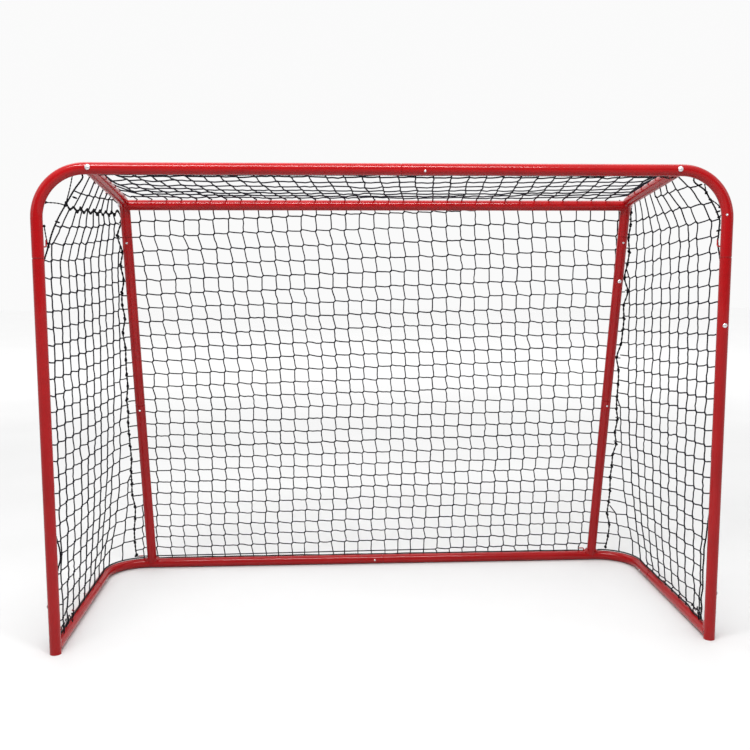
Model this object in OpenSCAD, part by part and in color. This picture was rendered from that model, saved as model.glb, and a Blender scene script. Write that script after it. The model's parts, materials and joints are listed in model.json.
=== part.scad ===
// Knock-down floorball / street hockey goal: bent steel tube frame with a knotted net.
// X runs along the crossbar, Y from the mouth to the back, Z up. Units are millimetres.
// The origin is on the floor, in the middle of the goal's outline.

/* [Mouth] */
// Clear width between the two front posts
mouth_w = 1600; // [1200:10:1830]
// Clear height from the floor to the underside of the crossbar
mouth_h = 1150; // [900:10:1220]
// Centreline radius of the two upper corners
corner_r = 115; // [80:5:140]

/* [Depth] */
// Front tube axis to rear floor bar axis
base_depth = 650; // [550:10:750]
// Front tube axis to rear top corner, measured level
roof_depth = 400; // [350:10:450]
// How far the roof falls from the crossbar to its rear corner
roof_drop = 57; // [30:1:80]
// Front post axis to the plane of a rear post and its top side bar
side_inset = 123; // [120:1:135]
// Centreline radius of the rounded rear floor corners
base_corner_r = 110; // [90:5:115]
// Centreline radius of the bend between a top side bar and its rear post
rear_bend_r = 50; // [40:1:70]

/* [Tube] */
// Outer diameter of every tube
tube_d = 28; // [26:1:32]
// Wall thickness of every tube
tube_wall = 1.2; // [1:0.1:1.5]
// Radial clearance of a swaged end in the tube that takes it
swage_clearance = 0.1; // [0.05:0.05:0.2]
// Length of the cone from full diameter down to a swaged end
swage_cone = 4; // [3:1:6]

/* [Joints] */
// Height of the joint between an upper corner's leg and its post
leg_joint_z = 957; // [900:1:1000]
// Length of the swaged end of an upper corner's leg
leg_swage = 190; // [80:5:200]
// Crossbar joint, to the right of the middle
crossbar_joint_x = 31; // [0:1:60]
// Length of the crossbar's swaged end
crossbar_swage = 75; // [60:5:100]
// Rear floor bar joint, to the right of the middle
floor_joint_x = 26; // [0:1:60]
// Length of the rear floor bar's swaged end
floor_swage = 50; // [40:5:80]
// Base side joint, behind the front tube axis
base_joint_y = 440; // [380:1:445]
// Length of the swaged end of a base side tube
base_swage = 90; // [60:5:95]
// Height of the upper joint of a rear post
rear_upper_joint_z = 1015; // [980:1:1020]
// Length of the swaged end at the upper joint of a rear post
rear_upper_swage = 150; // [80:5:160]
// Height of the lower joint of a rear post
rear_lower_joint_z = 530; // [450:1:600]
// Length of the swaged end at the lower joint of a rear post
rear_lower_swage = 60; // [40:5:80]

/* [Fasteners] */
// Diameter of the clamping bolts
bolt_d = 6; // [5:1:8]
// Head diameter of the clamping bolts
bolt_head_d = 13; // [11:1:15]
// Head height of the clamping bolts
bolt_head_h = 4; // [3:0.5:5]
// Diameter of the joint screws
screw_d = 4; // [3:0.5:5]
// Head diameter of the small joint screws
small_head_d = 6; // [5:1:8]
// Head diameter of the ring headed screws
ring_head_d = 11; // [9:1:12]

/* [Net hooks] */
// Diameter of the hook wire
hook_d = 3.5; // [3:0.5:4]
// Distance from the tube's skin to the middle of the hook's tip
hook_reach = 9; // [8:1:12]
// Straight length of the hook's tip
hook_tip = 12; // [8:1:15]

/* [Net] */
// Thickness of the solid that stands for a net panel
net_t = 3; // [2:0.5:4]
// Diameter of the border ropes
border_d = 5; // [4:0.5:6]
// Diameter of the lacing cords that join side and back panels
seam_d = 6; // [5:0.5:8]

/* [Hidden] */
$fn = 48;

paint = [0.72, 0.05, 0.07];
zinc = [0.86, 0.87, 0.88];
net_black = [0.05, 0.05, 0.07];

tube_r = tube_d / 2;
bore_r = tube_r - tube_wall;
swage_r = bore_r - swage_clearance;
cut = 1;                                    // how far a cutter runs past what it cuts
post_x = mouth_w / 2 + tube_r;              // front post axis
bar_z = mouth_h + tube_r;                   // crossbar axis
side_x = post_x - side_inset;               // plane of the top side bars and rear posts
leg_z = bar_z - corner_r;                   // top of the straight part of a post

// Side profile, in the plane of a rear post, as [y, z]
roof_front = [0, bar_z];
roof_rear = [roof_depth, bar_z - roof_drop];
foot = [base_depth, tube_r];
roof_angle = atan2(roof_drop, roof_depth);                          // fall of the roof
post_angle = atan2(roof_rear[1] - foot[1], foot[0] - roof_rear[0]); // steepness of the rear post
roof_dir = [cos(roof_angle), -sin(roof_angle)];
post_dir = [cos(post_angle), -sin(post_angle)];
post_out = [sin(post_angle), cos(post_angle)];                      // square to the post, backwards
roof_out = [sin(roof_angle), cos(roof_angle)];                      // square to the roof, upwards
bend_turn = post_angle - roof_angle;
bend_tangent = rear_bend_r * tan(bend_turn / 2);
roof_len = norm(roof_rear - roof_front);
post_len = norm(foot - roof_rear);
bend_centre = roof_rear - roof_dir * bend_tangent - roof_out * rear_bend_r;
bend_middle = 90 - (roof_angle + post_angle) / 2;
rear_bar = bend_centre + rear_bend_r * [cos(bend_middle), sin(bend_middle)];

// Distance along the rear post, from its theoretical top corner, of a point at height z
function along_post(z) = (roof_rear[1] - z) / sin(post_angle);

// The bolts' dome: a cap of a sphere
function dome_r(d, h) = (d * d / 4 + h * h) / (2 * h);
bolt_dome_centre = tube_r + bolt_head_h - dome_r(bolt_head_d, bolt_head_h);
front_y = -(bolt_dome_centre * cos(roof_angle) + dome_r(bolt_head_d, bolt_head_h));
back_y = base_depth + tube_r + hook_reach + hook_d / 2;     // hooks that point straight back
middle_y = (front_y + back_y) / 2;

insert_len = 18;
insert_gap = 1;            // between a threaded plug and the tube that it is pulled against
plug_clearance = 0.05;     // round a threaded plug, and round the bolt in it
hole_clearance = 0.2;      // between a bolt or screw and the walls that it passes
seam_ring_h = 1.5;         // ring inside the bore, between a side bar and its bend
cope_gap = 0.05;           // between a coped tube end and the tube that it meets
weld_leg = 7;              // how far the fillet welds at the rear posts' feet reach along both tubes
weld_half_w = 10;          // half width of those welds, measured across the floor bar
cope_start = tube_r / 2;   // a base side tube's end, behind its post's axis
small_head_h = 2;
ring_head_h = 3;
screw_tip = 8;             // where a joint screw ends, from its tube's axis

// Places of the screws and hooks, each in the direction of its own tube
leg_screw_z = 795;
corner_screw_turn = 5.5;   // how far round the upper corner its small screw sits
corner_screw_side = 25;    // how far that screw is turned inwards from the front
net_screw_z = 120;
crossbar_screw_x = 85;
crossbar_screw_lean = 20;  // how far that screw points below level
floor_screw_x = 1;
base_screw_y = 505;
base_screw_lean = 15;
rear_small_screws_z = [1000, 517];
rear_ring_screw_z = 891;
hook_bend_r = 4;
leg_hook_z = 985;
leg_hook_turn = 130;       // from outwards to inwards and back, seen from above
post_hooks_z = [140, 420, 700];
crossbar_hooks_x = [-600, -360, -120, 120, 360, 600];
base_hooks_y = [120, 250, 380];
floor_hooks_x = [230, 460];
floor_foot_hook_x = 667;   // upright hook beside the right rear post
corner_foot_hook_turn = 6; // upright hook beside the left rear post, round the floor corner
side_bar_hooks = [150, 280];

// The net's edges, for the right side
edge_x = 800;              // front border rope
edge_y = 24;
edge_z = tube_r * 2 + border_d / 2 + 1;    // border rope on top of the base tubes
net_y = 28;                // where roof and side panels start behind the front tubes
net_z = 36;                // lower edge of the side panels
roof_net_front = [18, bar_z - 13.5];
roof_net_rear = [rear_bar[0] + 3, rear_bar[1] + tube_r + 5.5];
roof_net_half_w = side_x - tube_r - 7;
back_net_out = tube_r + 3.5;               // back panel's distance behind the rear posts' axes
back_net_half_w = [735, 700];              // at the floor and at the top
back_net_z = 31;
seam_top = [side_x + 20, roof_depth + 12, roof_rear[1] - 9];
seam_foot = [side_x + 49, base_depth - 2, 38];

// ---------------------------------------------------------------- building blocks

// Puts its children in the goal's frame, whose origin is in the middle of the outline
module placed() translate([0, -middle_y, 0]) children();

// The left half of a mirrored pair
module on_left() mirror([1, 0, 0]) children();

// Turns a shape drawn along +Z so that it runs along the side profile's direction dir
module along_profile(at, dir) {
    translate([0, at[0], at[1]]) rotate([atan2(dir[1], dir[0]) - 90, 0, 0]) children();
}

// Straight tube along +Z
module tube(len) difference() {
    cylinder(r = tube_r, h = len);
    translate([0, 0, -cut]) cylinder(r = bore_r, h = len + 2 * cut);
}

// Bent tube in the XY plane round the origin, from +X towards +Y
module bend(radius, angle) rotate_extrude(angle = angle) translate([radius, 0]) difference() {
    circle(r = tube_r);
    circle(r = bore_r);
}

// Thin ring inside the bore that makes a straight tube at z = 0 and its bend one solid
module bend_seam() translate([0, 0, -seam_ring_h / 2]) difference() {
    cylinder(r = bore_r + seam_ring_h / 4, h = seam_ring_h);
    translate([0, 0, -cut]) cylinder(r = bore_r - seam_ring_h / 4, h = seam_ring_h + 2 * cut);
}

// Tube along +Z up to a joint at z = len, with a cone and a reduced end that plugs into the next tube
module swaged_tube(len, swage_len) rotate_extrude() polygon([
    [bore_r, 0], [tube_r, 0], [tube_r, len - swage_cone], [swage_r, len], [swage_r, len + swage_len],
    [swage_r - tube_wall, len + swage_len], [swage_r - tube_wall, len], [bore_r, len - swage_cone]]);

// Turns the XY plane into the goal's side profile: local X to Y, local Y to Z
module in_profile(x) translate([x, 0, 0]) rotate([90, 0, 90]) children();

// Screw whose head sits on a tube of radius tube_r, drawn along +X from the tube's axis
module screw(head_d, head_h, reach) rotate([0, 90, 0]) {
    translate([0, 0, reach]) cylinder(d = screw_d, h = tube_r - reach);
    intersection() {
        translate([0, 0, tube_r]) cylinder(d = head_d, h = head_h);
        translate([0, 0, tube_r + head_h - dome_r(head_d, head_h)]) sphere(r = dome_r(head_d, head_h));
    }
}

// Clearance hole for a screw, drawn along +X from a tube's axis
module screw_hole() rotate([0, 90, 0]) cylinder(d = screw_d + 2 * hole_clearance, h = tube_r + cut);

// Bent wire hook, drawn with its tube's axis along Z, its stem along +X and its tip along +Z
module hook() difference() {
    bend_x = tube_r + hook_reach - hook_bend_r;
    union() {
        rotate([0, 90, 0]) cylinder(d = hook_d, h = bend_x);
        translate([bend_x, 0, hook_bend_r]) rotate([90, 0, 0]) rotate([0, 0, -90])
            rotate_extrude(angle = 90) translate([hook_bend_r, 0]) circle(d = hook_d);
        translate([tube_r + hook_reach, 0, hook_bend_r]) cylinder(d = hook_d, h = hook_tip);
    }
    translate([0, 0, -hook_d]) cylinder(r = tube_r, h = 2 * hook_d);
}

// Puts a hook on a tube along X: the stem is lifted from straight back, the tip points to +X
module hook_on_x(lift) rotate([lift, 0, 0]) in_profile(0) hook();

// Bolt shaft along +Z through the tube that its head rests on, whose axis is at the origin
module bolt_shaft(len) translate([0, 0, -tube_r - bolt_head_h / 2])
    cylinder(d = bolt_d, h = tube_r + bolt_head_h / 2 + len);

// Domed bolt head on the -Z side of that tube, not yet cut to the tube's roundness
module bolt_head() intersection() {
    translate([0, 0, -tube_r - bolt_head_h]) cylinder(d = bolt_head_d, h = 2 * bolt_head_h);
    translate([0, 0, -bolt_dome_centre]) sphere(r = dome_r(bolt_head_d, bolt_head_h));
}

module bolt_hole(len) translate([0, 0, -tube_r - cut]) cylinder(d = bolt_d + 2 * hole_clearance, h = len);

// Threaded plug along +Z, inside a tube
module plug() translate([0, 0, tube_r + insert_gap]) difference() {
    cylinder(r = bore_r - plug_clearance, h = insert_len);
    translate([0, 0, -cut]) cylinder(d = bolt_d + 2 * plug_clearance, h = insert_len + 2 * cut);
}

// Places on the frame, for the right side
module at_leg_screw(facing) translate([post_x, 0, leg_screw_z]) rotate([0, 0, -90 * facing]) children();
module at_corner_screw(facing) translate([post_x - corner_r, 0, leg_z]) rotate([0, -corner_screw_turn, 0])
    translate([corner_r, 0, 0]) rotate([0, 0, -(90 + corner_screw_side) * facing]) children();
module at_net_screw() translate([post_x, 0, net_screw_z]) children();
module at_base_screw() translate([post_x, base_screw_y, tube_r]) rotate([0, 180 - base_screw_lean, 0])
    children();
module at_crossbar_screw() translate([crossbar_screw_x, 0, bar_z]) rotate([crossbar_screw_lean, 0, 0])
    rotate([0, 0, -90]) children();
module at_floor_screw() translate([floor_screw_x, base_depth, tube_r]) rotate([0, 0, -90]) children();
module at_rear_bar() translate([side_x, rear_bar[0], rear_bar[1]]) rotate([0, -90, 0]) children();
module at_roof_front() translate([side_x, 0, 0]) along_profile(roof_front, roof_dir) children();

// On the rear post at height z: local Z runs down the post and local Y to the front
module at_post(z) translate([side_x, 0, 0]) along_profile(roof_rear + post_dir * along_post(z), post_dir)
    children();
module at_rear_screw(z, facing) at_post(z) rotate([0, 0, 90 * facing]) children();

// Solid cylinder round the crossbar's or the floor bar's axis, that other tubes are coped against
module bar_space(at, r) translate([side_x - 2 * tube_r, at[0], at[1]]) rotate([0, 90, 0])
    cylinder(r = r, h = 4 * tube_r);

// The rear top bend's frame: its arc starts on local X at the post's end and turns to the side bar's end
module at_rear_bend() in_profile(side_x) translate(bend_centre) rotate([0, 0, 90 - post_angle]) children();

// Solid rear top bend, that the rear top bar is coped against
module rear_bend_space(r) at_rear_bend()
    rotate_extrude(angle = bend_turn) translate([rear_bend_r, 0]) circle(r = r);

// ---------------------------------------------------------------- tubes

// Upper corner, with the leg that plugs into a post
module upper_corner() {
    translate([post_x - corner_r, 0, leg_z]) rotate([90, 0, 0]) bend(corner_r, 90);
    translate([post_x, 0, leg_z]) rotate([180, 0, 0]) swaged_tube(leg_z - leg_joint_z, leg_swage);
}

// Places its children at the upper corner's end, with local Z along the crossbar to the middle
module at_corner_end() translate([post_x - corner_r, 0, bar_z]) rotate([0, -90, 0]) children();

// Holes that both halves of the crossbar have, with the leg's screws facing the front (1) or the back (-1)
module crossbar_half_holes(facing) {
    at_leg_screw(facing) screw_hole();
    at_corner_screw(facing) screw_hole();
    at_roof_front() bolt_hole(2 * tube_r + 2 * cut);
}

module crossbar_left() color(paint) placed() difference() {
    on_left() {
        upper_corner();
        at_corner_end() swaged_tube(post_x - corner_r + crossbar_joint_x, crossbar_swage);
    }
    on_left() crossbar_half_holes(-1);
    at_crossbar_screw() screw_hole();
}

module crossbar_right() color(paint) placed() difference() {
    union() {
        upper_corner();
        at_corner_end() tube(post_x - corner_r - crossbar_joint_x);
    }
    crossbar_half_holes(1);
    at_crossbar_screw() screw_hole();
}

// Front post, a straight tube that stands on its cut end
module post(facing) difference() {
    translate([post_x, 0, 0]) tube(leg_joint_z);
    at_leg_screw(facing) screw_hole();
    at_net_screw() screw_hole();
}
module post_left() color(paint) placed() on_left() post(-1);
module post_right() color(paint) placed() post(1);

// Base side tube, coped against the back of the post
module base_side() difference() {
    translate([post_x, cope_start, tube_r]) rotate([-90, 0, 0])
        swaged_tube(base_joint_y - cope_start, base_swage);
    translate([post_x, 0, -cut]) cylinder(r = tube_r + cope_gap, h = 2 * tube_d);
    at_base_screw() screw_hole();
}
module base_side_left() color(paint) placed() on_left() base_side();
module base_side_right() color(paint) placed() base_side();

// Fillet weld in the corner above that joint
module heel_weld() difference() {
    weld_middle = tube_r + weld_leg * 0.4;
    in_profile(post_x - weld_half_w) linear_extrude(2 * weld_half_w) translate([0, tube_r]) polygon([
        [tube_r / 2, tube_r / 2], [tube_r + weld_leg, tube_r / 2], [tube_r + weld_leg, tube_r],
        [weld_middle, weld_middle], [tube_r, tube_r + weld_leg], [tube_r / 2, tube_r + weld_leg]]);
    translate([post_x, 0, tube_r]) rotate([-90, 0, 0]) cylinder(r = tube_r, h = 2 * tube_d);
    translate([post_x, 0, -cut]) cylinder(r = tube_r, h = 2 * tube_d);
}
module heel_weld_left() color(paint) placed() on_left() heel_weld();
module heel_weld_right() color(paint) placed() heel_weld();

// Rounded floor corner, with the stretch that takes a base side tube
module base_corner() {
    translate([post_x, base_joint_y, tube_r]) rotate([-90, 0, 0])
        tube(base_depth - base_corner_r - base_joint_y);
    translate([post_x - base_corner_r, base_depth - base_corner_r, tube_r]) bend(base_corner_r, 90);
}

// Places its children at the floor corner's end, with local Z along the floor bar to the middle
module at_base_corner_end() translate([post_x - base_corner_r, base_depth, tube_r]) rotate([0, -90, 0])
    children();

module base_corner_left() color(paint) placed() difference() {
    on_left() {
        base_corner();
        at_base_corner_end() tube(post_x - base_corner_r + floor_joint_x);
    }
    on_left() at_base_screw() screw_hole();
    at_floor_screw() screw_hole();
}

module base_corner_right() color(paint) placed() difference() {
    union() {
        base_corner();
        at_base_corner_end() swaged_tube(post_x - base_corner_r - floor_joint_x, floor_swage);
    }
    at_base_screw() screw_hole();
    at_floor_screw() screw_hole();
}

// Top side bar, rear top bend and short leg with its swaged end
module top_side(facing) difference() {
    at_rear_bend() {
        bend(rear_bend_r, bend_turn);
        rotate([0, 0, bend_turn]) translate([rear_bend_r, 0, 0]) rotate([-90, 0, 0]) {
            tube(roof_len - bend_tangent);
            bend_seam();
        }
        translate([rear_bend_r, 0, 0]) rotate([90, 0, 0])
            swaged_tube(along_post(rear_upper_joint_z) - bend_tangent, rear_upper_swage);
    }
    bar_space(roof_front, tube_r + cope_gap);
    at_rear_bar() bolt_hole(2 * tube_r + 2 * cut);
    at_rear_screw(rear_small_screws_z[0], 1) screw_hole();
    at_rear_screw(rear_ring_screw_z, facing) screw_hole();
}
module top_side_left() color(paint) placed() on_left() top_side(-1);
module top_side_right() color(paint) placed() top_side(1);

// Upper tube of the rear post, with a swaged lower end
module rear_post_upper(facing) difference() {
    at_post(rear_upper_joint_z)
        swaged_tube(along_post(rear_lower_joint_z) - along_post(rear_upper_joint_z), rear_lower_swage);
    at_rear_screw(rear_small_screws_z[0], 1) screw_hole();
    at_rear_screw(rear_small_screws_z[1], 1) screw_hole();
    at_rear_screw(rear_ring_screw_z, facing) screw_hole();
}
module rear_post_upper_left() color(paint) placed() on_left() rear_post_upper(-1);
module rear_post_upper_right() color(paint) placed() rear_post_upper(1);

// Lower tube of the rear post, coped on the floor bar
module rear_post_lower() difference() {
    at_post(rear_lower_joint_z) tube(post_len - along_post(rear_lower_joint_z));
    bar_space(foot, tube_r + cope_gap);
    at_rear_screw(rear_small_screws_z[1], 1) screw_hole();
}
module rear_post_lower_left() color(paint) placed() on_left() rear_post_lower();
module rear_post_lower_right() color(paint) placed() rear_post_lower();

// Fillet welds on both sides of a rear post's foot
module rear_foot_weld() {
    weld_end = tube_r + weld_leg;
    weld_middle = tube_r + weld_leg * 0.4;
    difference() {
        translate([side_x, 0, 0]) along_profile(foot, -post_dir) translate([0, weld_half_w, 0])
            rotate([90, 0, 0]) linear_extrude(2 * weld_half_w) polygon([
                [-weld_end, tube_r / 2], [weld_end, tube_r / 2], [weld_end, tube_r],
                [weld_middle, weld_middle], [tube_r, weld_end], [-tube_r, weld_end],
                [-weld_middle, weld_middle], [-weld_end, tube_r]]);
        bar_space(foot, tube_r);
        at_post(2 * tube_d) cylinder(r = tube_r, h = 2 * tube_d);
    }
}
module rear_foot_weld_left() color(paint) placed() on_left() rear_foot_weld();
module rear_foot_weld_right() color(paint) placed() rear_foot_weld();

module rear_top_bar() color(paint) placed() difference() {
    translate([-side_x, rear_bar[0], rear_bar[1]]) rotate([0, 90, 0]) tube(2 * side_x);
    rear_bend_space(tube_r + cope_gap);
    on_left() rear_bend_space(tube_r + cope_gap);
}

// ---------------------------------------------------------------- fasteners

module crossbar_bolt() {
    at_roof_front() bolt_shaft(tube_r + insert_gap + insert_len - 3);
    difference() {
        at_roof_front() bolt_head();
        bar_space(roof_front, tube_r);
    }
}
module crossbar_bolt_left() color(zinc) placed() on_left() crossbar_bolt();
module crossbar_bolt_right() color(zinc) placed() crossbar_bolt();

module side_bar_insert_left() color(zinc) placed() on_left() at_roof_front() plug();
module side_bar_insert_right() color(zinc) placed() at_roof_front() plug();

module rear_bar_bolt() {
    at_rear_bar() bolt_shaft(tube_r + insert_gap + insert_len - 3);
    difference() {
        at_rear_bar() bolt_head();
        rear_bend_space(tube_r);
    }
}
module rear_bar_bolt_left() color(zinc) placed() on_left() rear_bar_bolt();
module rear_bar_bolt_right() color(zinc) placed() rear_bar_bolt();

module rear_bar_insert_left() color(zinc) placed() on_left() at_rear_bar() plug();
module rear_bar_insert_right() color(zinc) placed() at_rear_bar() plug();

module small_screw() screw(small_head_d, small_head_h, screw_tip);
module ring_screw() screw(ring_head_d, ring_head_h, screw_tip);

module front_joint_screws() color(zinc) placed() {
    at_leg_screw(1) ring_screw();
    at_corner_screw(1) small_screw();
    on_left() at_leg_screw(-1) ring_screw();
    on_left() at_corner_screw(-1) small_screw();
}

module crossbar_joint_screw() color(zinc) placed() at_crossbar_screw() small_screw();
module floor_bar_joint_screw() color(zinc) placed() at_floor_screw() small_screw();

module base_joint_screws() color(zinc) placed() {
    at_base_screw() small_screw();
    on_left() at_base_screw() small_screw();
}

module rear_post_screws(facing) {
    for (z = rear_small_screws_z) at_rear_screw(z, 1) small_screw();
    at_rear_screw(rear_ring_screw_z, facing) ring_screw();
}
module rear_joint_screws() color(zinc) placed() {
    rear_post_screws(1);
    on_left() rear_post_screws(-1);
}

module net_screws() color(zinc) placed() {
    at_net_screw() ring_screw();
    on_left() at_net_screw() ring_screw();
}

// ---------------------------------------------------------------- hooks

module leg_hook() translate([post_x, 0, leg_hook_z]) rotate([0, 0, leg_hook_turn]) hook();

// Along the crossbar they point straight back, and one on each leg points back and inwards
module crossbar_hooks() color(paint) placed() {
    for (x = crossbar_hooks_x) translate([x, 0, bar_z]) hook_on_x(0);
    leg_hook();
    on_left() leg_hook();
}

module post_hooks() for (z = post_hooks_z) translate([post_x, 0, z]) rotate([0, 0, 90]) hook();
module post_hooks_left() color(paint) placed() on_left() post_hooks();
module post_hooks_right() color(paint) placed() post_hooks();

// On the base side tubes they point outwards, with their tips to the back
module base_hooks() for (y = base_hooks_y) translate([post_x, y, tube_r]) rotate([-90, 0, 0]) hook();
module base_hooks_left() color(paint) placed() on_left() base_hooks();
module base_hooks_right() color(paint) placed() base_hooks();

// On the floor bar they point straight back with their tips outwards, and one beside each rear post
// stands upright
module floor_bar_hooks() color(paint) placed() {
    for (x = floor_hooks_x) translate([x, base_depth, tube_r]) hook_on_x(0);
    on_left() for (x = floor_hooks_x) translate([x, base_depth, tube_r]) hook_on_x(0);
    translate([floor_foot_hook_x, base_depth, tube_r]) mirror([1, 0, 0]) hook_on_x(90);
    on_left() translate([post_x - base_corner_r, base_depth - base_corner_r, tube_r])
        rotate([0, 0, -corner_foot_hook_turn]) translate([0, base_corner_r, 0]) hook_on_x(90);
}

module side_bar_hooks() for (s = side_bar_hooks) at_roof_front() translate([0, 0, s]) hook();
module side_bar_hooks_left() color(paint) placed() on_left() side_bar_hooks();
module side_bar_hooks_right() color(paint) placed() side_bar_hooks();

// ---------------------------------------------------------------- net

// Roof panel: a flat sheet between the top side bars, over the rear top bar
module net_top() color(net_black) placed() {
    along = roof_net_rear - roof_net_front;
    across = [-along[1], along[0]] * net_t / 2 / norm(along);
    translate([-roof_net_half_w, 0, 0]) in_profile(0) linear_extrude(2 * roof_net_half_w) polygon([
        roof_net_front - across, roof_net_rear - across, roof_net_rear + across, roof_net_front + across]);
}

// Back panel: a flat sheet behind the rear posts, wider at the floor
module net_back() color(net_black) placed() {
    low = (back_net_z - tube_r - back_net_out * cos(post_angle)) / sin(post_angle);
    along_profile(foot, -post_dir) translate([0, back_net_out + net_t / 2, 0]) rotate([90, 0, 0])
        linear_extrude(net_t) polygon([[-back_net_half_w[0], low], [back_net_half_w[0], low],
            [back_net_half_w[1], post_len], [-back_net_half_w[1], post_len]]);
}

// Side panel, right side. It is taut from the front border to the seam at the back, and only its lowest and
// highest parts are drawn out to the base tube and to the side bar.
side_steps = [14, 12];     // along and up
side_top_corner_share = 0.1;
side_corner_r = base_corner_r - 2;
side_corner_turn = 68;
side_straight = base_depth - base_corner_r - net_y;
side_floor_len = side_straight + side_corner_r * side_corner_turn * PI / 180;
side_front_low = [edge_x + 3, net_y, net_z];
side_front_hook = [edge_x + 3, net_y, leg_hook_z];
side_front_top = [side_x + 31, net_y, bar_z - 24];
side_top_corner = [side_x + 18, net_y + 40, bar_z - 30];
side_top_rear = [side_x + 18, roof_depth + 2, roof_rear[1] - 17];
side_hook_share = (leg_hook_z - net_z) / (side_front_top[2] - net_z);

function mix(a, b, t) = a + (b - a) * t;
function unit(v) = v / norm(v);

// The panel's edges, u from front to back and v from the floor up
function floor_turn(s) = max(0, s - side_straight) / side_corner_r * 180 / PI;
function side_step_in(s) = (1 - min(1, s / 60)) * (post_x - 2 - side_front_low[0]);
function side_floor(u) = let (s = u * side_floor_len, turn = floor_turn(s)) [
    post_x - base_corner_r + side_corner_r * cos(turn) - side_step_in(s),
    net_y + min(s, side_straight) + side_corner_r * sin(turn), net_z];
function side_roof(u) = u < side_top_corner_share
    ? mix(side_front_top, side_top_corner, u / side_top_corner_share)
    : mix(side_top_corner, side_top_rear, (u - side_top_corner_share) / (1 - side_top_corner_share));
function side_front(v) = v < side_hook_share
    ? mix(side_front_low, side_front_hook, v / side_hook_share)
    : mix(side_front_hook, side_front_top, (v - side_hook_share) / (1 - side_hook_share));
function side_rear(v) = mix(side_floor(1), side_top_rear, v);

function side_sheet(u, v) = mix(side_front(v), side_rear(v), u)
    + pow(1 - v, 4) * (side_floor(u) - mix(side_floor(0), side_floor(1), u))
    + pow(v, 6) * (side_roof(u) - mix(side_roof(0), side_roof(1), u));
function side_normal(u, v) = let (d = 0.01) unit(cross(
    side_sheet(min(u + d, 1), v) - side_sheet(max(u - d, 0), v),
    side_sheet(u, min(v + d, 1)) - side_sheet(u, max(v - d, 0))));

module net_side() {
    n = side_steps[0];
    m = side_steps[1];
    function outer(i, j) = 2 * (i * (m + 1) + j);
    function inner(i, j) = outer(i, j) + 1;
    function quad(a, b, c, d) = [[a, b, c], [a, c, d]];
    polyhedron(
        points = [for (i = [0 : n]) for (j = [0 : m]) let (u = i / n, v = j / m)
            for (k = [1, -1]) side_sheet(u, v) + k * net_t / 2 * side_normal(u, v)],
        faces = [
            for (i = [0 : n - 1]) for (j = [0 : m - 1]) each concat(
                quad(outer(i, j), outer(i, j + 1), outer(i + 1, j + 1), outer(i + 1, j)),
                quad(inner(i, j), inner(i + 1, j), inner(i + 1, j + 1), inner(i, j + 1))),
            for (j = [0 : m - 1]) each concat(
                quad(inner(0, j), inner(0, j + 1), outer(0, j + 1), outer(0, j)),
                quad(outer(n, j), outer(n, j + 1), inner(n, j + 1), inner(n, j))),
            for (i = [0 : n - 1]) each concat(
                quad(outer(i, 0), outer(i + 1, 0), inner(i + 1, 0), inner(i, 0)),
                quad(outer(i + 1, m), outer(i, m), inner(i, m), inner(i + 1, m)))]);
}
module net_side_left() color(net_black) placed() on_left() net_side();
module net_side_right() color(net_black) placed() net_side();

// Rope through the given points: one swept tube with flat sides. No stretch may run along X.
rope_sides = 8;
function rope_way(points, i) = unit(points[min(i + 1, len(points) - 1)] - points[max(i - 1, 0)]);
function rope_ring(centre, way, r) = let (a = unit(cross(way, [1, 0, 0])), b = cross(way, a))
    [for (k = [0 : rope_sides - 1]) let (turn = 360 * k / rope_sides)
        centre + r * (a * cos(turn) + b * sin(turn))];
module rope(points, d) {
    last = rope_sides * (len(points) - 1);
    polyhedron(
        points = [for (i = [0 : len(points) - 1]) each rope_ring(points[i], rope_way(points, i), d / 2)],
        faces = concat(
            [[for (k = [rope_sides - 1 : -1 : 0]) k], [for (k = [0 : rope_sides - 1]) last + k]],
            [for (i = [0 : rope_sides : last - 1]) for (k = [0 : rope_sides - 1])
                let (a = i + k, b = i + (k + 1) % rope_sides)
                each [[a, b, b + rope_sides], [a, b + rope_sides, a + rope_sides]]]));
}

module seam_cord_left() color(net_black) placed() on_left() rope([seam_top, seam_foot], seam_d);
module seam_cord_right() color(net_black) placed() rope([seam_top, seam_foot], seam_d);

// Border rope: from below the crossbar down to the leg's hook, down behind the post and back along the
// top of the base tube
module border_cord() rope([
    [side_front_top[0] - 1, edge_y, side_front_top[2] - 3], [edge_x, edge_y, leg_hook_z],
    [edge_x, edge_y, 2.5 * tube_d], [edge_x + 3, net_y, 40], [post_x, 60, edge_z],
    for (turn = [0 : 10 : 60]) [post_x - base_corner_r + base_corner_r * cos(turn),
        base_depth - base_corner_r + base_corner_r * sin(turn), edge_z]], border_d);
module border_cord_left() color(net_black) placed() on_left() border_cord();
module border_cord_right() color(net_black) placed() border_cord();

// The other two border ropes lie below the crossbar's back and above the floor bar's back
border_offset = 12.5;      // from those tubes' axes, both level and upright
module straight_border(at, half_len) translate([-half_len, at[0], at[1]]) rotate([0, 90, 0])
    cylinder(d = border_d, h = 2 * half_len);
module border_cord_crossbar() color(net_black) placed()
    straight_border([border_offset, bar_z - border_offset], roof_net_half_w);
module border_cord_floor() color(net_black) placed()
    straight_border([base_depth + border_offset, tube_r + border_offset], post_x - base_corner_r);

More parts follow.
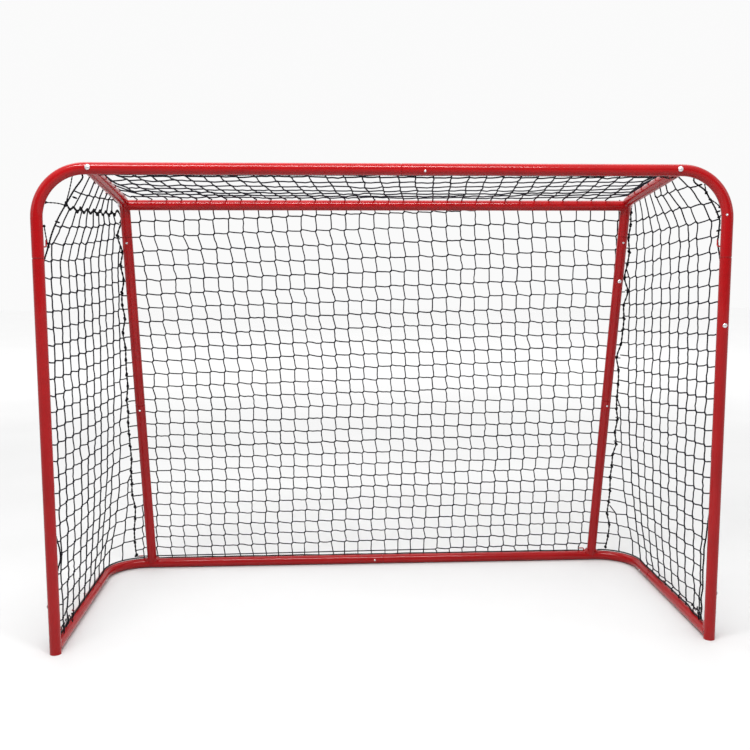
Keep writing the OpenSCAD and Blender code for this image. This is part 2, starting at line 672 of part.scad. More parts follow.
crossbar_left();
crossbar_right();
post_left();
post_right();
base_side_left();
base_side_right();
heel_weld_left();
heel_weld_right();
base_corner_left();
base_corner_right();
top_side_left();
top_side_right();
rear_post_upper_left();
rear_post_upper_right();
rear_post_lower_left();
rear_post_lower_right();
rear_top_bar();
rear_foot_weld_left();
rear_foot_weld_right();
crossbar_bolt_left();
crossbar_bolt_right();
side_bar_insert_left();
side_bar_insert_right();
rear_bar_bolt_left();
rear_bar_bolt_right();
rear_bar_insert_left();
rear_bar_insert_right();
front_joint_screws();
crossbar_joint_screw();
floor_bar_joint_screw();
base_joint_screws();
rear_joint_screws();
net_screws();
crossbar_hooks();
post_hooks_left();
post_hooks_right();
base_hooks_left();
base_hooks_right();
floor_bar_hooks();
side_bar_hooks_left();
side_bar_hooks_right();
net_top();
net_back();
net_side_left();
net_side_right();
seam_cord_left();
seam_cord_right();
border_cord_left();
border_cord_right();
border_cord_crossbar();
border_cord_floor();
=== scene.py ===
import json
import math

import bpy
import numpy as np
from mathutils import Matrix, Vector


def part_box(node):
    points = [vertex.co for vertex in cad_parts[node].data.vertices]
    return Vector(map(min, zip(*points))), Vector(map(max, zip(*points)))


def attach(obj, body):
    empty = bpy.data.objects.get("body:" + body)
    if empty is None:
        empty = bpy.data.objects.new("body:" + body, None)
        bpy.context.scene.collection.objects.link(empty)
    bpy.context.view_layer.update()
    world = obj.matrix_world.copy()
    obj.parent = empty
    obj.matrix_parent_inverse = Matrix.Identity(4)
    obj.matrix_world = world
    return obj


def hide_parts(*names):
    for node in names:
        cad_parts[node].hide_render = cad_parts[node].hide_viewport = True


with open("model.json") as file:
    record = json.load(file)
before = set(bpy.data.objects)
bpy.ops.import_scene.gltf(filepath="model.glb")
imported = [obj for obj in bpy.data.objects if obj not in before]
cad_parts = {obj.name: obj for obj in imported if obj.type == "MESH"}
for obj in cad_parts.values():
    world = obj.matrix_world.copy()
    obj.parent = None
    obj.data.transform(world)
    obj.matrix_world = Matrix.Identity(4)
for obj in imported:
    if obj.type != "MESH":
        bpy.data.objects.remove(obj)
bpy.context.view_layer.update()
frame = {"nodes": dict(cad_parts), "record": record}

# Looks of a knock-down hockey goal: glossy red tubes, zinc fasteners and a black knotted net.
# All lengths are metres. Points are made with Y counted from the front tubes' axis, X to the
# right and Z up from the floor, and to_row() brings them into the row's frame.

MM = 0.001
rng = np.random.default_rng(7)

# ---------------------------------------------------------------- places, from the frame

tube_r = (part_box("rear_top_bar")[1].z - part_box("rear_top_bar")[0].z) / 2
post_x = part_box("post_right")[1].x - tube_r
front_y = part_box("post_right")[0].y + tube_r
bar_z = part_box("crossbar_right")[1].z - tube_r
floor_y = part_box("base_corner_right")[1].y - tube_r - front_y
side_x = (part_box("rear_post_upper_right")[0].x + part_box("rear_post_upper_right")[1].x) / 2
rear_bar_y = (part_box("rear_top_bar")[0].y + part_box("rear_top_bar")[1].y) / 2 - front_y
rear_bar_z = (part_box("rear_top_bar")[0].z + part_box("rear_top_bar")[1].z) / 2
hook_z = 0.985                 # hooks on the upper corners' legs, where the side nets leave the posts' line
base_corner_r = 0.110          # centreline of the rounded rear floor corners
corner_x = post_x - base_corner_r
corner_y = floor_y - base_corner_r
roof_depth = 0.400             # front tubes to the corner of roof and rear posts
roof_drop = 0.057
post_slope = (floor_y - roof_depth) / (bar_z - roof_drop - tube_r)   # a rear post's run per rise


def to_row(points):
    """Points counted from the front tubes' axis, in the row's frame."""
    return np.asarray(points, float) + np.array([0.0, front_y, 0.0])


# ---------------------------------------------------------------- camera

camera = bpy.data.objects.new("camera", bpy.data.cameras.new("camera"))
bpy.context.scene.collection.objects.link(camera)
camera.data.lens = 46.56
camera.data.sensor_width = 36.0
camera.data.clip_end = 60.0
camera.location = (-0.1563, front_y - 2.304, 0.972)
camera.rotation_euler = (math.radians(90 - 7.22), math.radians(0.07), math.radians(-3.094))
bpy.context.scene.camera = camera

# ---------------------------------------------------------------- materials


def new_material(name):
    made = bpy.data.materials.new(name)
    made.use_nodes = True
    tree = made.node_tree
    shader = tree.nodes["Principled BSDF"]
    coords = tree.nodes.new("ShaderNodeTexCoord").outputs["Object"]
    return made, tree, shader, coords


def noise(tree, coords, scale, detail=3.0, rough=0.5):
    node = tree.nodes.new("ShaderNodeTexNoise")
    node.inputs["Scale"].default_value = scale
    node.inputs["Detail"].default_value = detail
    node.inputs["Roughness"].default_value = rough
    tree.links.new(coords, node.inputs["Vector"])
    return node.outputs["Fac"]


def ramp(tree, value, stops):
    """A colour ramp over value. stops are (place, (r, g, b))."""
    node = tree.nodes.new("ShaderNodeValToRGB")
    elements = node.color_ramp.elements
    while len(elements) < len(stops):
        elements.new(0.5)
    for element, (place, colour) in zip(elements, stops):
        element.position = place
        element.color = (*colour, 1.0)
    tree.links.new(value, node.inputs["Fac"])
    return node.outputs["Color"]


def span(tree, value, low, high):
    """Value from 0 to 1 spread over low to high."""
    node = tree.nodes.new("ShaderNodeMapRange")
    node.inputs["To Min"].default_value = low
    node.inputs["To Max"].default_value = high
    tree.links.new(value, node.inputs["Value"])
    return node.outputs["Result"]


def multiply(tree, a, b):
    node = tree.nodes.new("ShaderNodeMix")
    node.data_type = "RGBA"
    node.blend_type = "MULTIPLY"
    node.inputs["Factor"].default_value = 1.0
    tree.links.new(a, node.inputs["A"])
    tree.links.new(b, node.inputs["B"])
    return node.outputs["Result"]


def bump(tree, shader, height, distance, strength=1.0):
    node = tree.nodes.new("ShaderNodeBump")
    node.inputs["Distance"].default_value = distance
    node.inputs["Strength"].default_value = strength
    tree.links.new(height, node.inputs["Height"])
    tree.links.new(node.outputs["Normal"], shader.inputs["Normal"])


def gloss_paint():
    """Baked gloss powder coat: deep red, faint orange peel, slight uneven film."""
    made, tree, shader, coords = new_material("gloss_paint")
    film = ramp(tree, noise(tree, coords, 9.0, 4.0, 0.6),
                [(0.3, (0.27, 0.0020, 0.0032)), (0.7, (0.32, 0.0032, 0.0048))])
    dust = ramp(tree, noise(tree, coords, 160.0, 6.0, 0.7), [(0.30, (0.94, 0.93, 0.93)), (0.46, (1, 1, 1))])
    tree.links.new(multiply(tree, film, dust), shader.inputs["Base Color"])
    tree.links.new(span(tree, noise(tree, coords, 45.0, 5.0, 0.65), 0.17, 0.27), shader.inputs["Roughness"])
    shader.inputs["Specular IOR Level"].default_value = 0.16
    shader.inputs["Coat Weight"].default_value = 0.25
    shader.inputs["Coat Roughness"].default_value = 0.05
    bump(tree, shader, noise(tree, coords, 420.0, 2.0, 0.4), 0.00012, 0.25)
    return made


def zinc_plate():
    """Bright zinc plating with a fine grain and duller patches."""
    made, tree, shader, coords = new_material("zinc_plate")
    tone = ramp(tree, noise(tree, coords, 260.0, 5.0, 0.6),
                [(0.3, (0.62, 0.63, 0.65)), (0.7, (0.86, 0.87, 0.89))])
    tree.links.new(tone, shader.inputs["Base Color"])
    shader.inputs["Metallic"].default_value = 1.0
    tree.links.new(span(tree, noise(tree, coords, 700.0, 3.0), 0.18, 0.38), shader.inputs["Roughness"])
    bump(tree, shader, noise(tree, coords, 1500.0, 2.0), 0.00005, 0.5)
    return made


def cord_fibre(name, low, high, scale):
    """Braided polyethylene cord: near black, matt, with a fine braid whose grooves carry painted shade, so
    its crowns look paler.
    """
    made, tree, shader, coords = new_material(name)
    tone = ramp(tree, noise(tree, coords, 55.0, 5.0, 0.6), [(0.32, low), (0.72, high)])
    braid = tree.nodes.new("ShaderNodeTexWave")
    braid.bands_direction = "DIAGONAL"
    braid.inputs["Scale"].default_value = scale
    braid.inputs["Distortion"].default_value = 1.5
    tree.links.new(coords, braid.inputs["Vector"])
    # painted shade: the colour is darker in the braid's grooves, where the bump is low, and full on its
    # crowns
    groove_shade = ramp(tree, braid.outputs["Fac"], [(0.1, (0.6, 0.6, 0.6)), (0.7, (1, 1, 1))])
    tree.links.new(multiply(tree, tone, groove_shade), shader.inputs["Base Color"])
    tree.links.new(span(tree, noise(tree, coords, 300.0, 4.0), 0.5, 0.75), shader.inputs["Roughness"])
    shader.inputs["Specular IOR Level"].default_value = 0.12
    bump(tree, shader, braid.outputs["Fac"], 0.0003, 0.8)
    return made


PAINT = gloss_paint()
ZINC = zinc_plate()
CORD = cord_fibre("net_cord", (0.003, 0.0026, 0.007), (0.008, 0.007, 0.017), 240.0)
ROPE = cord_fibre("border_rope", (0.002, 0.002, 0.004), (0.007, 0.006, 0.010), 180.0)

slot_of = {part["node"]: part["material_slot"] for part in frame["record"]["subparts"]}
look_of = {"frame_paint": PAINT, "hook_paint": PAINT, "fastener_zinc": ZINC}
for node_name, node in frame["nodes"].items():
    if slot_of[node_name] in look_of:
        node.data.materials.clear()
        node.data.materials.append(look_of[slot_of[node_name]])

# ---------------------------------------------------------------- mesh building blocks


class Bag:
    """Collects closed surfaces and makes one smooth shaded mesh object of them."""

    def __init__(self):
        self.points = []
        self.faces = []
        self.count = 0

    def add(self, points, faces):
        self.points.append(points)
        self.faces.extend([tuple(int(k) + self.count for k in face) for face in faces])
        self.count += len(points)

    def make(self, name, material, slot, *nodes):
        mesh = bpy.data.meshes.new(name)
        mesh.from_pydata(to_row(np.vstack(self.points)).tolist(), [], self.faces)
        mesh.shade_smooth()
        mesh.materials.append(material)
        made = bpy.data.objects.new(name, mesh)
        bpy.context.scene.collection.objects.link(made)
        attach(made, "root")
        if nodes:
            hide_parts(*nodes)
        return made


def unit(v):
    v = np.asarray(v, float)
    return v / np.maximum(np.linalg.norm(v, axis=-1, keepdims=True), 1e-12)


def cross_frames(points):
    """Two directions square to a line at each of its points, carried along without twist."""
    way = unit(np.gradient(points, axis=0))
    start = np.array([0.0, 0.0, 1.0]) if abs(way[0][2]) < 0.9 else np.array([1.0, 0.0, 0.0])
    a = np.empty_like(points)
    last = start
    for i, w in enumerate(way):
        last = unit(last - w * np.dot(last, w))
        a[i] = last
    return a, np.cross(way, a)


def sweep(bag, points, radius, sides=6):
    """A closed tube of the given radius, or radii, along points."""
    points = np.asarray(points, float)
    a, b = cross_frames(points)
    turn = np.linspace(0, 2 * math.pi, sides, endpoint=False)
    radius = np.broadcast_to(radius, len(points))[:, None, None]
    ring = a[:, None] * np.cos(turn)[None, :, None] + b[:, None] * np.sin(turn)[None, :, None]
    corners = (points[:, None] + ring * radius).reshape(-1, 3)
    faces = [[i + k, i + (k + 1) % sides, i + sides + (k + 1) % sides, i + sides + k]
             for i in range(0, (len(points) - 1) * sides, sides) for k in range(sides)]
    last = (len(points) - 1) * sides
    faces.append(list(range(sides))[::-1])
    faces.append([last + k for k in range(sides)])
    bag.add(corners, faces)


def smooth_line(points, step):
    """Points about step apart on a smooth line through the given ones (Catmull-Rom)."""
    points = np.asarray(points, float)
    padded = np.vstack([2 * points[0] - points[1], points, 2 * points[-1] - points[-2]])
    line = []
    for i in range(1, len(padded) - 2):
        p0, p1, p2, p3 = padded[i - 1:i + 3]
        count = max(2, int(math.ceil(np.linalg.norm(p2 - p1) / step)))
        for t in np.arange(count) / count:
            line.append(0.5 * (2 * p1 + (p2 - p0) * t + (2 * p0 - 5 * p1 + 4 * p2 - p3) * t * t
                               + (3 * p1 - p0 - 3 * p2 + p3) * t ** 3))
    line.append(points[-1])
    return np.array(line)


def laid_rope(bag, points, thickness, plies=2, lay=0.022, step=0.004, sides=6):
    """A rope of twisted plies through the given points. lay is one turn's length."""
    line = smooth_line(points, step)
    a, b = cross_frames(line)
    along = np.r_[0, np.cumsum(np.linalg.norm(np.diff(line, axis=0), axis=1))]
    ply_r = thickness / 2 / (1 + 1 / math.sin(math.pi / plies)) * 1.18
    off = thickness / 2 - ply_r
    for ply in range(plies):
        turn = 2 * math.pi * (along / lay + ply / plies)
        sweep(bag, line + off * (a * np.cos(turn)[:, None] + b * np.sin(turn)[:, None]), ply_r, sides)


def knot_template(sides=8, rings=5, lobes=2, twist=1.3):
    """A small knot of unit length and thickness along X: two strands wrapped round each other."""
    along = np.cos(np.linspace(math.pi * 0.93, math.pi * 0.07, rings))
    points = [[-1.0, 0.0, 0.0]]
    for t in along:
        for k in range(sides):
            turn = 2 * math.pi * k / sides
            r = (1 - t * t) ** 0.35 * (1 + 0.2 * math.cos(lobes * turn + twist * t * math.pi))
            points.append([t, r * math.cos(turn), r * math.sin(turn)])
    points.append([1.0, 0.0, 0.0])
    faces = [[0, 1 + (k + 1) % sides, 1 + k] for k in range(sides)]
    for i in range(rings - 1):
        for k in range(sides):
            a, b = 1 + i * sides + k, 1 + i * sides + (k + 1) % sides
            faces.append([a, b, b + sides, a + sides])
    last, end = 1 + (rings - 1) * sides, len(points) - 1
    faces += [[last + k, last + (k + 1) % sides, end] for k in range(sides)]
    return np.array(points), faces


KNOT = knot_template()
BLOB = knot_template(sides=12, rings=8, lobes=3, twist=2.2)      # a rounder one, for ropes


def knot(bag, centre, way, half_len, r, template=KNOT):
    """A knot at centre, stretched along way."""
    way = unit(way)
    side = unit(np.cross(way, [0.3, 0.2, 0.9]))
    points = template[0] * np.array([half_len, r, r])
    bag.add(np.asarray(centre) + points @ np.array([way, side, np.cross(way, side)]), template[1])


# ---------------------------------------------------------------- knotted netting

STRAND_R = 1.75 * MM
KNOT_HALF = 4.3 * MM
KNOT_HOLD = 0.75                # a strand meets its knot this share of the knot's half length out
KNOT_R = 2.3 * MM
MESH = 41.5 * MM
WOBBLE = 0.9 * MM               # scatter of the back and side panels' knots


class Netting:
    """Knots at (column, row), each drawn out into a short dash, and the strands between them.

    A strand reaches a knot at its low end from lower columns or rows and leaves it at its high end,
    as the strands of machine knotted netting do, so it jogs at each knot.
    """

    def __init__(self, dash, slack=1.0):
        self.bag = Bag()
        self.dash = dash             # a knot's drawn-out direction, in shares of (columns, rows)
        self.slack = slack
        self.at = {}
        self.low = {}
        self.high = {}

    def place(self, knots):
        """knots is {(column, row): point}. Each gets its dash from its neighbours."""
        self.at.update(knots)
        for (i, j), p in knots.items():
            right = unit(knots.get((i + 1, j), p) - knots.get((i - 1, j), p))
            up = unit(knots.get((i, j + 1), p) - knots.get((i, j - 1), p))
            way = unit(self.dash[0] * right + self.dash[1] * up + rng.normal(0, 0.12, 3))
            half = KNOT_HALF * rng.uniform(0.85, 1.15)
            self.low[i, j] = p - way * half * KNOT_HOLD
            self.high[i, j] = p + way * half * KNOT_HOLD
            knot(self.bag, p, way, half, KNOT_R * rng.uniform(0.9, 1.15))

    def link(self, a, b):
        """Inner points of a strand from a to b, a little slack."""
        line = []
        for t in (0.34, 0.67):
            bend = rng.normal(0, 0.55 * MM * self.slack, 3)
            bend[2] -= 0.4 * MM * self.slack
            line.append(a + (b - a) * t + bend)
        return line

    def strand(self, keys, start=(), end=()):
        """One strand through the knots keys, from the points in start and on to those in end."""
        line = [np.asarray(p, float) for p in start]
        for key in keys:
            if line:
                line += self.link(line[-1], self.low[key])
            line += [self.low[key], self.high[key]]
        for p in end:
            line += self.link(line[-1], np.asarray(p, float))[:1] + [np.asarray(p, float)]
        sweep(self.bag, line, STRAND_R * rng.uniform(0.92, 1.08))

    def columns(self):
        """The knots' keys, column by column, from the lowest row up."""
        found = {}
        for i, j in sorted(self.at):
            found.setdefault(i, []).append((i, j))
        return found

    def rows(self):
        """The knots' keys, row by row, from the lowest column up."""
        found = {}
        for i, j in sorted(self.at, key=lambda k: (k[1], k[0])):
            found.setdefault(j, []).append((i, j))
        return found


def mix(a, b, t):
    """From a at t = 0 to b at t = 1."""
    return a + (b - a) * t


# ---------------------------------------------------------------- back panel

BACK_OUT = 17.5 * MM                     # behind the rear posts' axes
BACK_HALF_FLOOR = 735 * MM
BACK_HALF_TOP = 700 * MM
BACK_COLUMNS = range(-18, 19)
BACK_ROWS = range(-1, 28)
BACK_STEPS = 25                          # rows from row 0 to the one below the rear top bar
ROW_0_Z, ROW_0_RISE = 72.5 * MM, 0.019   # heights in the middle, and how much they rise to the right
TOP_ROW_Z, TOP_ROW_RISE = 1037.5 * MM, 0.0325
back_top_z = bar_z - roof_drop + 4 * MM


def back_y(z):
    """The back panel's place at a height: it follows the slope of the rear posts."""
    return floor_y - (z - tube_r) * post_slope + BACK_OUT


def back_half(z):
    """The back panel's half width at a height."""
    return mix(BACK_HALF_FLOOR, BACK_HALF_TOP, z / back_top_z)


def back_x(column, z):
    """Columns bow a little to the right at half height and stand wider apart near the floor."""
    share = z / back_top_z
    middle = -12 * MM + 17 * MM * math.sin(math.pi * share)
    return middle + column * mix(41.8 * MM, 40.3 * MM, share)


def back_knot(column, row):
    """Rows rise a little to the right and lie closer near the floor, where the net is slack."""
    x = column * MESH
    share = row / BACK_STEPS
    low = ROW_0_Z + ROW_0_RISE * x
    high = TOP_ROW_Z + TOP_ROW_RISE * x
    z = low + (high - low) * (0.94 * share + 0.06 * share * share)
    x = back_x(column, z)
    belly = 9 * MM * math.sin(math.pi * min(1, max(0, z / back_top_z)))
    return np.array([x, back_y(z) + belly * math.cos(x / 2), z])


def rear_bar_over(x, angle):
    """On the rear top bar's skin, angle from straight back up and over to the front."""
    r = tube_r + 2.4 * MM
    return np.array([x, rear_bar_y + r * math.cos(angle), rear_bar_z + r * math.sin(angle)])


back = Netting((0.72, 0.70))
back_knots = {}
row_shift = {row: rng.normal(0, 2.6 * MM) for row in BACK_ROWS}
for column in BACK_COLUMNS:
    for row in BACK_ROWS:
        p = back_knot(column, row)
        p[0] += row_shift[row] * math.cos(1.2 * p[0] + 0.3 * row)
        if abs(p[0]) < back_half(p[2]) - 12 * MM and 40 * MM < p[2] < back_top_z - 14 * MM:
            back_knots[column, row] = p + rng.normal(0, WOBBLE, 3)
back.place(back_knots)
BORDER_OFF = 12.5 * MM                   # straight border ropes, from their tubes' axes, level and upright
border_floor_y = floor_y + BORDER_OFF
border_floor_z = tube_r + BORDER_OFF
for column, keys in back.columns().items():
    foot_x = back.at[keys[0]][0] + rng.normal(0, 2 * MM)
    if abs(foot_x) > corner_x:
        foot = [[foot_x, floor_y - 4 * MM, border_floor_z + 5 * MM]]
    else:
        foot = [[foot_x, border_floor_y, border_floor_z - 2 * MM],
                [foot_x, border_floor_y + 3 * MM, border_floor_z + 4 * MM]]
    top_x = back_x(column, back_top_z)
    head = [rear_bar_over(top_x, 0.7), rear_bar_over(top_x, 1.25)]
    back.strand(keys, foot, head)


SEAM_FOOT_Z = 38 * MM
SEAM_HEIGHT = 1060 * MM


def seam_point(side, z):
    """The lacing between a side panel and the back panel."""
    share = (z - SEAM_FOOT_Z) / SEAM_HEIGHT
    return np.array([side * mix(side_x + 49 * MM, side_x + 20 * MM, share),
                     mix(floor_y - 2 * MM, roof_depth + 12 * MM, share), z])


for row, keys in back.rows().items():
    first, last = back.at[keys[0]], back.at[keys[-1]]
    back.strand(keys, [seam_point(-1, first[2] - 3 * MM)], [seam_point(1, last[2] + 3 * MM)])
back.bag.make("net_back_panel", CORD, slot_of["net_back"], "net_back")

# ---------------------------------------------------------------- roof panel

ROOF_HALF = side_x - tube_r - 7 * MM
roof_front_y, roof_front_z = 18 * MM, bar_z - 13.5 * MM
roof_rear_y, roof_rear_z = rear_bar_y + 3 * MM, rear_bar_z + tube_r + 3.5 * MM
ROOF_COLUMNS = range(-17, 19)
ROOF_ROWS = 7
ROOF_ROW = 53.5 * MM                     # spacing of the rows, front to rear
ROOF_FIRST_ROW = 31 * MM


def roof_point(column, y):
    """Columns run askew: their rear ends lie a mesh further right than their front ends."""
    share = (y - roof_front_y) / (roof_rear_y - roof_front_y)
    k = column - 1
    front_x = (-20 + 42.6 * k - 0.0085 * k ** 3) * MM
    x = mix(front_x, back_x(column, back_top_z), share)
    sag = 9 * MM * math.sin(math.pi * min(1, max(0, share))) * math.cos(x * 2.0)
    return np.array([x, y, mix(roof_front_z, roof_rear_z, share) - sag])


roof = Netting((0.25, 0.95), 1.2)
roof_knots = {}
for column in ROOF_COLUMNS:
    for row in range(ROOF_ROWS):
        p = roof_point(column, ROOF_FIRST_ROW + row * ROOF_ROW)
        if abs(p[0]) < ROOF_HALF - 6 * MM:
            roof_knots[column, row] = p + rng.normal(0, 1.2 * MM, 3) * [1, 1, 0.7]
roof.place(roof_knots)
for column, keys in roof.columns().items():
    front_x = roof_point(column, roof_front_y)[0]
    rear_x = roof_point(column, roof_rear_y)[0]
    head = []
    if keys[0][1] == 0:
        head = [[front_x, 12 * MM, bar_z - 12 * MM], [front_x, 12.5 * MM, bar_z - 15 * MM]]
    tail = []
    if keys[-1][1] == ROOF_ROWS - 1:
        tail = [rear_bar_over(rear_x, 1.45), rear_bar_over(rear_x, 0.9)]
    roof.strand(keys, head, tail)


def side_bar_z(y):
    """Height of a top side bar's axis."""
    return bar_z - y * roof_drop / roof_depth


def side_bar_over(side, y, angle):
    """On a top side bar's skin, angle from straight outwards up and over to the inside."""
    r = tube_r + 2.2 * MM
    return np.array([side * (side_x + r * math.cos(angle)), y, side_bar_z(y) + r * math.sin(angle)])


for row, keys in roof.rows().items():
    y = ROOF_FIRST_ROW + row * ROOF_ROW
    left = [side_bar_over(-1, y, 1.7), side_bar_over(-1, y, 2.4)]
    right = [side_bar_over(1, y, 2.4), side_bar_over(1, y, 1.7)]
    roof.strand(keys, left, right)
roof.bag.make("net_roof_panel", CORD, slot_of["net_top"], "net_top")

# ---------------------------------------------------------------- side panels

# Corners of a side panel, for positive X
FRONT_LOW = np.array([post_x - 11 * MM, 28 * MM, 36 * MM])
FRONT_HOOK = np.array([post_x - 11 * MM, 28 * MM, hook_z])
FRONT_TOP = np.array([side_x + 31 * MM, 28 * MM, bar_z - 24 * MM])
TOP_CORNER = np.array([side_x + 18 * MM, 68 * MM, bar_z - 30 * MM])
REAR_TOP = np.array([side_x + 18 * MM, roof_depth + 2 * MM, bar_z - roof_drop - 17 * MM])
ROOF_CORNER_SHARE = 0.1         # share of the upper edge in front of TOP_CORNER
SIDE_COLUMNS, SIDE_ROWS = 14, 28
SIDE_DASH = (0.55, 0.83)
LACED_ABOVE = bar_z - 112 * MM  # where the left panel ends and its lacing begins
floor_arc_r = base_corner_r - 2 * MM
floor_straight = corner_y - FRONT_LOW[1]
FLOOR_TURN = math.radians(68)
floor_len = floor_straight + floor_arc_r * FLOOR_TURN


def side_floor(u):
    """The lower edge: along the base tube and round its rear corner."""
    s = u * floor_len
    turn = max(0.0, s - floor_straight) / floor_arc_r
    inset = (1 - min(1, s / (60 * MM))) * 9 * MM
    return np.array([corner_x + floor_arc_r * math.cos(turn) - inset,
                     FRONT_LOW[1] + min(s, floor_straight) + floor_arc_r * math.sin(turn), FRONT_LOW[2]])


def side_front(v, side):
    """The front edge. The left one is drawn straight up to the crossbar, the right one into the corner."""
    z = mix(FRONT_LOW[2], FRONT_TOP[2], v)
    if side < 0:
        heights, places = (hook_z, FRONT_TOP[2]), (FRONT_HOOK[0], FRONT_TOP[0])
    else:
        heights = [hook_z + rise * MM for rise in (0, 65, 97, 135, 155)]
        places = [FRONT_HOOK[0] + out * MM for out in (0, 3, -13, -38, -66)]
    return np.array([np.interp(z, heights, places), FRONT_LOW[1], z])


def side_rear(v):
    """The rear edge, along the seam."""
    return mix(side_floor(1), REAR_TOP, v)


def side_roof(u, side):
    """The upper edge, below the top side bar."""
    if u < ROOF_CORNER_SHARE:
        return mix(side_front(1, side), TOP_CORNER, u / ROOF_CORNER_SHARE)
    return mix(TOP_CORNER, REAR_TOP, (u - ROOF_CORNER_SHARE) / (1 - ROOF_CORNER_SHARE))


def side_sheet(u, v, side):
    """A side panel: taut from post to seam, and pulled out to the base tube and the side bar."""
    taut = mix(side_front(v, side), side_rear(v), u)
    to_floor = side_floor(u) - mix(side_floor(0), side_floor(1), u)
    to_roof = side_roof(u, side) - mix(side_roof(0, side), side_roof(1, side), u)
    return (taut + (1 - v) ** 4 * to_floor + v ** 6 * to_roof) * np.array([side, 1, 1])


def side_length(v, side):
    """Length of the panel from front to rear, at a share v of its height."""
    line = np.array([side_sheet(u, v, side) for u in np.linspace(0, 1, 25)])
    return np.linalg.norm(np.diff(line, axis=0), axis=1).sum()


def side_v(u, z):
    """The share of the panel's height at which it reaches height z."""
    return (z - FRONT_LOW[2]) / mix(FRONT_TOP[2] - FRONT_LOW[2], REAR_TOP[2] - FRONT_LOW[2], u)


def side_row_z(side, row, u):
    """Rows of the right panel fall to the back near the roof, those of the left one rise a little."""
    if side > 0:
        z = (50 + 40 * row) * MM
        return z - 38 * MM * u * z / bar_z
    return (72 + 40 * row) * MM + 22 * MM * u * u


def side_pitch(side, v):
    """Spacing of the columns, wider near the floor."""
    return mix(52 * MM, 42.5 * MM, v) if side > 0 else mix(57 * MM, 40 * MM, v)


SHARES = np.linspace(0, 1, 41)
LENGTHS = {side: [side_length(v, side) for v in SHARES] for side in (-1, 1)}


def side_u(side, column, v):
    """Where a column lies, as a share of the row's length. Column -1 is the front border."""
    length = np.interp(v, SHARES, LENGTHS[side])
    return (20 * MM + column * side_pitch(side, v)) / length


def side_knot(side, column, row):
    """The shares (u, v) where a column and a row cross, found by a few rounds of correction."""
    u = 0.3
    for _ in range(4):
        v = min(max(side_v(u, side_row_z(side, row, u)), 0.0), 1.0)
        u = side_u(side, column, v)
    return u, v


# On the left, the roof panel hangs over the side bar as a strip. A thick cord laces it to the side panel.
LACING_STEPS = 17
LACING_START, LACING_END = 20 * MM, 397 * MM
LACING_Y = np.linspace(LACING_START, LACING_END, LACING_STEPS)
LACING_Z = (bar_z - 91 * MM + 4 * MM * np.cos(math.pi * np.arange(LACING_STEPS))
            + 8 * MM * np.linspace(-1, 1, LACING_STEPS) ** 6)
STRIP_COLUMNS = 7


def strip_y(column):
    """Where a column of the strip crosses the side bar, its middle row and the lacing."""
    return [(72 + 50 * column - 0.9 * column ** 2) * MM, (65 + 60 * column - 2 * column ** 2) * MM,
            (68 + 52 * column - 0.8 * column ** 2) * MM]


def lacing_point(y):
    """On the left lacing below the side bar, y from the front tubes."""
    share = (y - LACING_START) / (LACING_END - LACING_START)
    x = mix(side_x + 59 * MM, side_x + 20 * MM, share)
    return np.array([-x, y, np.interp(y, LACING_Y, LACING_Z)])


def hanging_strip(net):
    """The strip's middle row of knots, with its strands up over the side bar and down to the lacing."""
    knots = {}
    for column in range(STRIP_COLUMNS):
        y = strip_y(column)[1]
        x = mix(side_x + 37 * MM, side_x + 20 * MM, y / roof_depth)
        z = bar_z - 55 * MM + 90 * MM * (y - 180 * MM) ** 2
        knots[column, 0] = np.array([-x, y, z])
    net.place(knots)
    for column in range(STRIP_COLUMNS):
        top, _, low = strip_y(column)
        over = [side_bar_over(-1, top, a) for a in (0.9, 0.2, -0.3)]
        line = [lacing_point(low), net.low[column, 0], net.high[column, 0], over[2], over[1], over[0]]
        sweep(net.bag, line, STRAND_R)
    row = [np.array([-(side_x + 38 * MM), 14 * MM, bar_z - 50 * MM])]
    for key in net.rows()[0]:
        row += net.link(row[-1], net.low[key]) + [net.low[key], net.high[key]]
    row.append(side_bar_over(-1, 378 * MM, -0.4))
    sweep(net.bag, row, STRAND_R)


def rope_inset(side, z):
    """How far inside its post's axis the border rope hangs: mostly hidden by the post."""
    if side < 0:
        return 4 * MM + 12 * MM * math.exp(-((z - 235 * MM) / (28 * MM)) ** 2)
    return 2 * MM + 10 * MM * min(1, max(0, (320 * MM - z) / (90 * MM)))


def behind_post(side, v):
    """Where a row of a side panel starts: on the border rope."""
    p = side_sheet(0, v, side)
    if p[2] < hook_z - 30 * MM:
        p[0] = side * (post_x - rope_inset(side, p[2]))
    return p


def side_panel(side, name, node):
    """A side panel, carried over the side bar on the right and laced to the hanging strip on the left."""
    net = Netting(SIDE_DASH)
    knots = {}
    share = {}
    for column in range(SIDE_COLUMNS):
        for row in range(SIDE_ROWS):
            u, v = side_knot(side, column, row)
            p = side_sheet(u, v, side)
            laced = side < 0 and p[2] > LACED_ABOVE
            if u < 0.982 and 0.012 < v < 0.998 and not laced:
                knots[column, row] = p + rng.normal(0, WOBBLE, 3)
                share[column, row] = u, v
    net.place(knots)
    for column, keys in net.columns().items():
        low = side_sheet(share[keys[0]][0], 0.0, side)
        start = [low + [0, 2 * MM, -5 * MM], low + [-side * 2 * MM, 0, 3 * MM]]
        u, v = share[keys[-1]]
        y = side_sheet(u, 1.0, side)[1]
        if u > 0.90 and v < 0.93:
            end = [seam_point(side, knots[keys[-1]][2] + 22 * MM)]
        elif side < 0:
            end = [lacing_point(knots[keys[-1]][1] - 6 * MM)]
        else:
            end = [side_bar_over(side, y, a) for a in (-0.2, 0.75, 1.6)]
        net.strand(keys, start, end)
    for row, keys in net.rows().items():
        start = [behind_post(side, share[keys[0]][1])] if keys[0][0] == 0 else []
        end = [seam_point(side, knots[keys[-1]][2])] if share[keys[-1]][0] > 0.85 else []
        net.strand(keys, start, end)
    if side < 0:
        strip = Netting(SIDE_DASH)
        strip.bag = net.bag
        hanging_strip(strip)
    net.bag.make(name, CORD, slot_of[node], node)


side_panel(1, "net_side_panel_right", "net_side_right")
side_panel(-1, "net_side_panel_left", "net_side_left")

